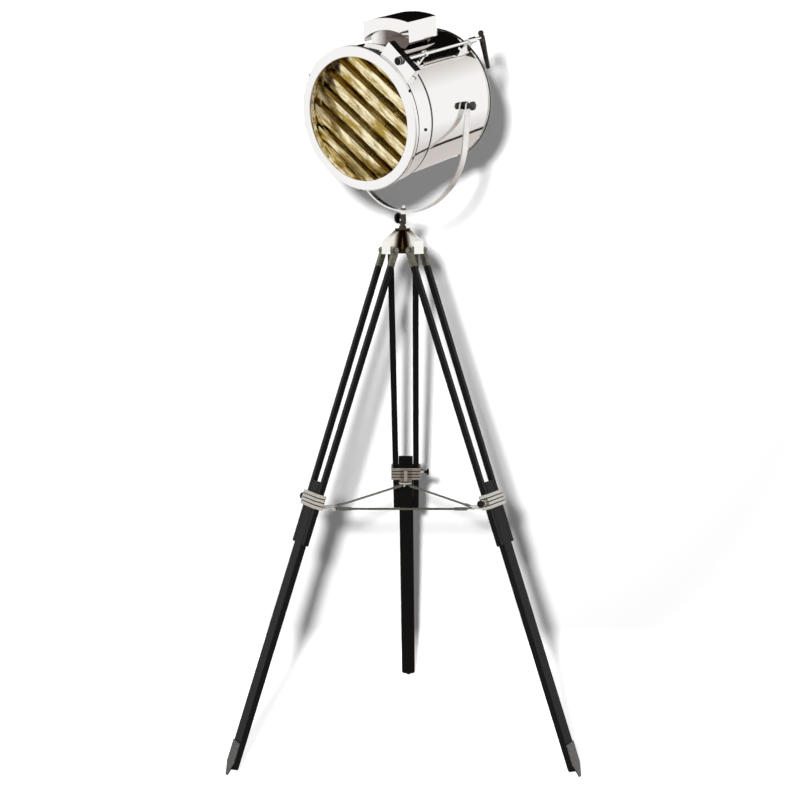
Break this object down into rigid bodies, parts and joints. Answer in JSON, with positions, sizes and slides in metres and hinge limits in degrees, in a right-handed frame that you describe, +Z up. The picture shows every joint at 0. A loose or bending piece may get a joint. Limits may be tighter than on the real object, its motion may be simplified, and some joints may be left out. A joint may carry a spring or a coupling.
{
  "type": "tripod spotlight floor lamp",
  "caption": "Floor lamp: polished drum spotlight with a slatted shutter in a tilting yoke, on a black wooden tripod with sliding legs, clamp collars and a folding brace.",
  "frame": {"origin": "on the floor, on the vertical axis of the tripod's head", "axes": "+Z up; +Y towards the rear leg, so -Y is the front between two legs"},
  "size_m": [0.7882, 0.7277, 1.6717],
  "materials": {
    "polished_steel": "polished",
    "gold_mirror": "polished",
    "nickel": "satin",
    "dark_metal": "satin",
    "hub_bronze": "polished",
    "black_wood": "satin",
    "foot_steel": "worn",
    "pewter": "cast",
    "lamp_glass": "clear",
    "black_plastic": "matt"
  },
  "bodies": {
    "tripod_head": {"hub": "hub_bronze", "hinge_bolts": "dark_metal", "pan_washer": "nickel"},
    "swivel": {"swivel_socket": "polished_steel", "cross_pin": "nickel"},
    "lock_knob": {"lock_knob": "dark_metal"},
    "yoke": {"knuckle": "polished_steel", "yoke": "polished_steel", "yoke_nut": "nickel"},
    "lamp_head": {"drum_shell": "polished_steel", "front_band": "polished_steel", "front_ring": "polished_steel", "case_screws": "dark_metal", "rear_cover": "polished_steel", "cable_gland": "dark_metal", "vent_neck": "dark_metal", "vent_hood": "polished_steel", "reflector": "gold_mirror", "shutter_frame": "gold_mirror", "socket_bracket": "nickel", "lampholder": "black_plastic", "bulb": "lamp_glass", "shutter_case": "polished_steel", "rod_supports": "nickel", "pivot_bushes": "nickel", "tilt_bolts": "dark_metal"},
    "tilt_knob_left": {"tilt_knob_left": "dark_metal"},
    "tilt_knob_right": {"tilt_knob_right": "dark_metal"},
    "shutter_drive": {"operating_rod": "nickel", "hand_lever": "dark_metal"},
    "slat_1": {"slat_1": "gold_mirror"},
    "slat_2": {"slat_2": "gold_mirror"},
    "slat_3": {"slat_3": "gold_mirror"},
    "slat_4": {"slat_4": "gold_mirror"},
    "slat_5": {"slat_5": "gold_mirror"},
    "slat_6": {"slat_6": "gold_mirror"},
    "slat_7": {"slat_7": "gold_mirror"},
    "tie_bar": {"tie_bar": "nickel"},
    "leg_rear": {"leg_cheeks_rear": "pewter", "rails_rear": "black_wood", "collar_rear": "pewter"},
    "lower_rear": {"lower_leg_rear": "black_wood", "foot_plate_rear": "foot_steel"},
    "clamp_screw_rear": {"clamp_screw_rear": "pewter"},
    "brace_rear": {"brace_rod_rear": "pewter"},
    "leg_left": {"leg_cheeks_left": "pewter", "rails_left": "black_wood", "collar_left": "pewter"},
    "lower_left": {"lower_leg_left": "black_wood", "foot_plate_left": "foot_steel"},
    "clamp_screw_left": {"clamp_screw_left": "pewter"},
    "brace_left": {"brace_rod_left": "pewter"},
    "leg_right": {"leg_cheeks_right": "pewter", "rails_right": "black_wood", "collar_right": "pewter"},
    "lower_right": {"lower_leg_right": "black_wood", "foot_plate_right": "foot_steel"},
    "clamp_screw_right": {"clamp_screw_right": "pewter"},
    "brace_right": {"brace_rod_right": "pewter"}
  },
  "joints": [
    {"name": "head_pan", "type": "hinge", "parent": "tripod_head", "child": "swivel", "pos_m": [0, 0, 1.2], "axis": [0, 0, 1], "continuous": true},
    {"name": "lock_knob_turn", "type": "hinge", "parent": "swivel", "child": "lock_knob", "pos_m": [-0.00978, 0.00696, 1.2226], "axis": [0.8148, -0.5797, 0], "range_deg": [0, 360]},
    {"name": "knuckle_lean", "type": "hinge", "parent": "swivel", "child": "yoke", "pos_m": [0, 0, 1.2184], "axis": [0.5797, 0.8148, 0], "range_deg": [-5.84, 9.16]},
    {"name": "head_tilt", "type": "hinge", "parent": "yoke", "child": "lamp_head", "pos_m": [0.02155, -0.01533, 1.47695], "axis": [0.8106, -0.5767, -0.1018], "range_deg": [-60, 30]},
    {"name": "tilt_knob_left_turn", "type": "hinge", "parent": "lamp_head", "child": "tilt_knob_left", "pos_m": [-0.10815, 0.07694, 1.49323], "axis": [-0.8106, 0.5767, 0.1018], "range_deg": [0, 360]},
    {"name": "tilt_knob_right_turn", "type": "hinge", "parent": "lamp_head", "child": "tilt_knob_right", "pos_m": [0.15124, -0.1076, 1.46067], "axis": [0.8106, -0.5767, -0.1018], "range_deg": [0, 360]},
    {"name": "shutter_lever", "type": "hinge", "parent": "lamp_head", "child": "shutter_drive", "pos_m": [0.10875, -0.11643, 1.58538], "axis": [-0.5817, -0.773, -0.2529], "range_deg": [-15, 45]},
    {"name": "slat_1_turn", "type": "hinge", "parent": "lamp_head", "child": "slat_1", "pos_m": [-0.1234, -0.0805, 1.35719], "axis": [0.684, -0.2967, -0.6664], "range_deg": [-15, 45]},
    {"name": "slat_2_turn", "type": "hinge", "parent": "lamp_head", "child": "slat_2", "pos_m": [-0.10965, -0.09803, 1.37911], "axis": [0.684, -0.2967, -0.6664], "range_deg": [-15, 45]},
    {"name": "slat_3_turn", "type": "hinge", "parent": "lamp_head", "child": "slat_3", "pos_m": [-0.09204, -0.12046, 1.40716], "axis": [0.684, -0.2967, -0.6664], "range_deg": [-15, 45]},
    {"name": "slat_4_turn", "type": "hinge", "parent": "lamp_head", "child": "slat_4", "pos_m": [-0.07444, -0.14288, 1.43521], "axis": [0.684, -0.2967, -0.6664], "range_deg": [-15, 45]},
    {"name": "slat_5_turn", "type": "hinge", "parent": "lamp_head", "child": "slat_5", "pos_m": [-0.05683, -0.16531, 1.46327], "axis": [0.684, -0.2967, -0.6664], "range_deg": [-15, 45]},
    {"name": "slat_6_turn", "type": "hinge", "parent": "lamp_head", "child": "slat_6", "pos_m": [-0.03923, -0.18774, 1.49132], "axis": [0.684, -0.2967, -0.6664], "range_deg": [-15, 45]},
    {"name": "slat_7_turn", "type": "hinge", "parent": "lamp_head", "child": "slat_7", "pos_m": [-0.02547, -0.20526, 1.51324], "axis": [0.684, -0.2967, -0.6664], "range_deg": [-15, 45]},
    {"name": "tie_bar_swing", "type": "hinge", "parent": "slat_4", "child": "tie_bar", "pos_m": [-0.04361, -0.13696, 1.3967], "axis": [0.684, -0.2967, -0.6664], "range_deg": [-45, 15]},
    {"name": "leg_fold_rear", "type": "hinge", "parent": "tripod_head", "child": "leg_rear", "pos_m": [0, 0.03646, 1.15084], "axis": [-1, 0, 0], "range_deg": [0, 15]},
    {"name": "leg_fold_left", "type": "hinge", "parent": "tripod_head", "child": "leg_left", "pos_m": [-0.03157, -0.01823, 1.15084], "axis": [0.5, -0.866, 0], "range_deg": [0, 15]},
    {"name": "leg_fold_right", "type": "hinge", "parent": "tripod_head", "child": "leg_right", "pos_m": [0.03157, -0.01823, 1.15084], "axis": [0.5, 0.866, 0], "range_deg": [0, 15]},
    {"name": "leg_slide_rear", "type": "slide", "parent": "leg_rear", "child": "lower_rear", "axis": [0, -0.3352, 0.9421], "range_m": [-0.02, 0.42]},
    {"name": "leg_slide_left", "type": "slide", "parent": "leg_left", "child": "lower_left", "axis": [0.2903, 0.1676, 0.9421], "range_m": [-0.02, 0.42]},
    {"name": "leg_slide_right", "type": "slide", "parent": "leg_right", "child": "lower_right", "axis": [-0.2903, 0.1676, 0.9421], "range_m": [-0.02, 0.42]},
    {"name": "clamp_screw_turn_rear", "type": "hinge", "parent": "leg_rear", "child": "clamp_screw_rear", "pos_m": [0.05, 0.23072, 0.59744], "axis": [-1, 0, 0], "range_deg": [0, 360]},
    {"name": "clamp_screw_turn_left", "type": "hinge", "parent": "leg_left", "child": "clamp_screw_left", "pos_m": [-0.22481, -0.07206, 0.59744], "axis": [0.5, -0.866, 0], "range_deg": [0, 360]},
    {"name": "clamp_screw_turn_right", "type": "hinge", "parent": "leg_right", "child": "clamp_screw_right", "pos_m": [0.17481, -0.15866, 0.59744], "axis": [0.5, 0.866, 0], "range_deg": [0, 360]},
    {"name": "brace_swing_rear", "type": "hinge", "parent": "leg_rear", "child": "brace_rear", "pos_m": [-0.007, 0.18288, 0.57319], "axis": [0.866, -0.5, 0], "range_deg": [0, 105]},
    {"name": "brace_swing_left", "type": "hinge", "parent": "leg_left", "child": "brace_left", "pos_m": [-0.15488, -0.0975, 0.57319], "axis": [0, 1, 0], "range_deg": [0, 105]},
    {"name": "brace_swing_right", "type": "hinge", "parent": "leg_right", "child": "brace_right", "pos_m": [0.16187, -0.08538, 0.57319], "axis": [-0.866, -0.5, 0], "range_deg": [0, 105]}
  ],
  "couplings": [
    {"joint": "slat_1_turn", "follows": "shutter_lever", "ratio": 1},
    {"joint": "slat_2_turn", "follows": "shutter_lever", "ratio": 1},
    {"joint": "slat_3_turn", "follows": "shutter_lever", "ratio": 1},
    {"joint": "slat_4_turn", "follows": "shutter_lever", "ratio": 1},
    {"joint": "slat_5_turn", "follows": "shutter_lever", "ratio": 1},
    {"joint": "slat_6_turn", "follows": "shutter_lever", "ratio": 1},
    {"joint": "slat_7_turn", "follows": "shutter_lever", "ratio": 1},
    {"joint": "tie_bar_swing", "follows": "shutter_lever", "ratio": -1},
    {"joint": "leg_fold_left", "follows": "leg_fold_rear", "ratio": 1},
    {"joint": "leg_fold_right", "follows": "leg_fold_rear", "ratio": 1},
    {"joint": "brace_swing_rear", "follows": "leg_fold_rear", "ratio": 7},
    {"joint": "brace_swing_left", "follows": "leg_fold_rear", "ratio": 7},
    {"joint": "brace_swing_right", "follows": "leg_fold_rear", "ratio": 7}
  ]
}
